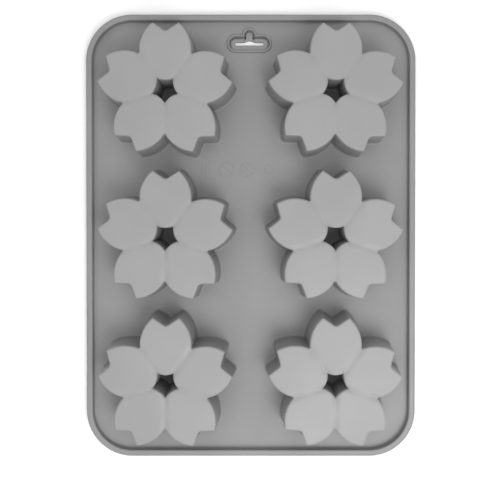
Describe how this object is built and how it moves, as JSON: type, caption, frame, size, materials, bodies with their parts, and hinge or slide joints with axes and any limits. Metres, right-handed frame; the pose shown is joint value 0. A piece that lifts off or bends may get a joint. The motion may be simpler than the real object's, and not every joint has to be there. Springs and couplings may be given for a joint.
{
  "type": "silicone soap mould",
  "caption": "Flexible rounded tray mould with flower-shaped cups standing on its back, a hollow star core in each, a raised rim bead and a hang slot.",
  "frame": {"origin": "middle of the footprint, on the opening side that the mould lies on", "axes": "+Z from the open side to the cups' flat ends, +Y towards the hang slot, +X across the columns of cups"},
  "size_m": [0.175, 0.235, 0.025],
  "materials": {
    "silicone": "matte"
  },
  "bodies": {
    "middle_row": {"middle_panel": "silicone", "middle_rim": "silicone", "upper_flex_web": "silicone", "lower_flex_web": "silicone", "care_marks": "silicone", "middle_left_cup_wall": "silicone", "middle_left_cup_floor": "silicone", "middle_right_cup_wall": "silicone", "middle_right_cup_floor": "silicone"},
    "top_row": {"top_panel": "silicone", "top_rim": "silicone", "hang_slot_lip": "silicone", "top_left_cup_wall": "silicone", "top_left_cup_floor": "silicone", "top_right_cup_wall": "silicone", "top_right_cup_floor": "silicone"},
    "bottom_row": {"bottom_panel": "silicone", "bottom_rim": "silicone", "bottom_left_cup_wall": "silicone", "bottom_left_cup_floor": "silicone", "bottom_right_cup_wall": "silicone", "bottom_right_cup_floor": "silicone"},
    "top_left_core": {"top_left_core": "silicone"},
    "top_right_core": {"top_right_core": "silicone"},
    "middle_left_core": {"middle_left_core": "silicone"},
    "middle_right_core": {"middle_right_core": "silicone"},
    "bottom_left_core": {"bottom_left_core": "silicone"},
    "bottom_right_core": {"bottom_right_core": "silicone"}
  },
  "joints": [
    {"name": "upper_bend", "type": "hinge", "parent": "middle_row", "child": "top_row", "pos_m": [0, 0.0388, 0.001], "axis": [1, 0, 0], "range_deg": [-60, 20], "stiffness_Nm_per_rad": 0.05, "deforming": ["upper_flex_web"]},
    {"name": "lower_bend", "type": "hinge", "parent": "middle_row", "child": "bottom_row", "pos_m": [0, -0.0359, 0.001], "axis": [-1, 0, 0], "range_deg": [-60, 20], "stiffness_Nm_per_rad": 0.05, "deforming": ["lower_flex_web"]},
    {"name": "top_left_press", "type": "slide", "parent": "top_row", "child": "top_left_core", "axis": [0, 0, -1], "range_m": [0, 0.006], "stiffness_N_per_m": 400},
    {"name": "top_right_press", "type": "slide", "parent": "top_row", "child": "top_right_core", "axis": [0, 0, -1], "range_m": [0, 0.006], "stiffness_N_per_m": 400},
    {"name": "middle_left_press", "type": "slide", "parent": "middle_row", "child": "middle_left_core", "axis": [0, 0, -1], "range_m": [0, 0.006], "stiffness_N_per_m": 400},
    {"name": "middle_right_press", "type": "slide", "parent": "middle_row", "child": "middle_right_core", "axis": [0, 0, -1], "range_m": [0, 0.006], "stiffness_N_per_m": 400},
    {"name": "bottom_left_press", "type": "slide", "parent": "bottom_row", "child": "bottom_left_core", "axis": [0, 0, -1], "range_m": [0, 0.006], "stiffness_N_per_m": 400},
    {"name": "bottom_right_press", "type": "slide", "parent": "bottom_row", "child": "bottom_right_core", "axis": [0, 0, -1], "range_m": [0, 0.006], "stiffness_N_per_m": 400}
  ]
}
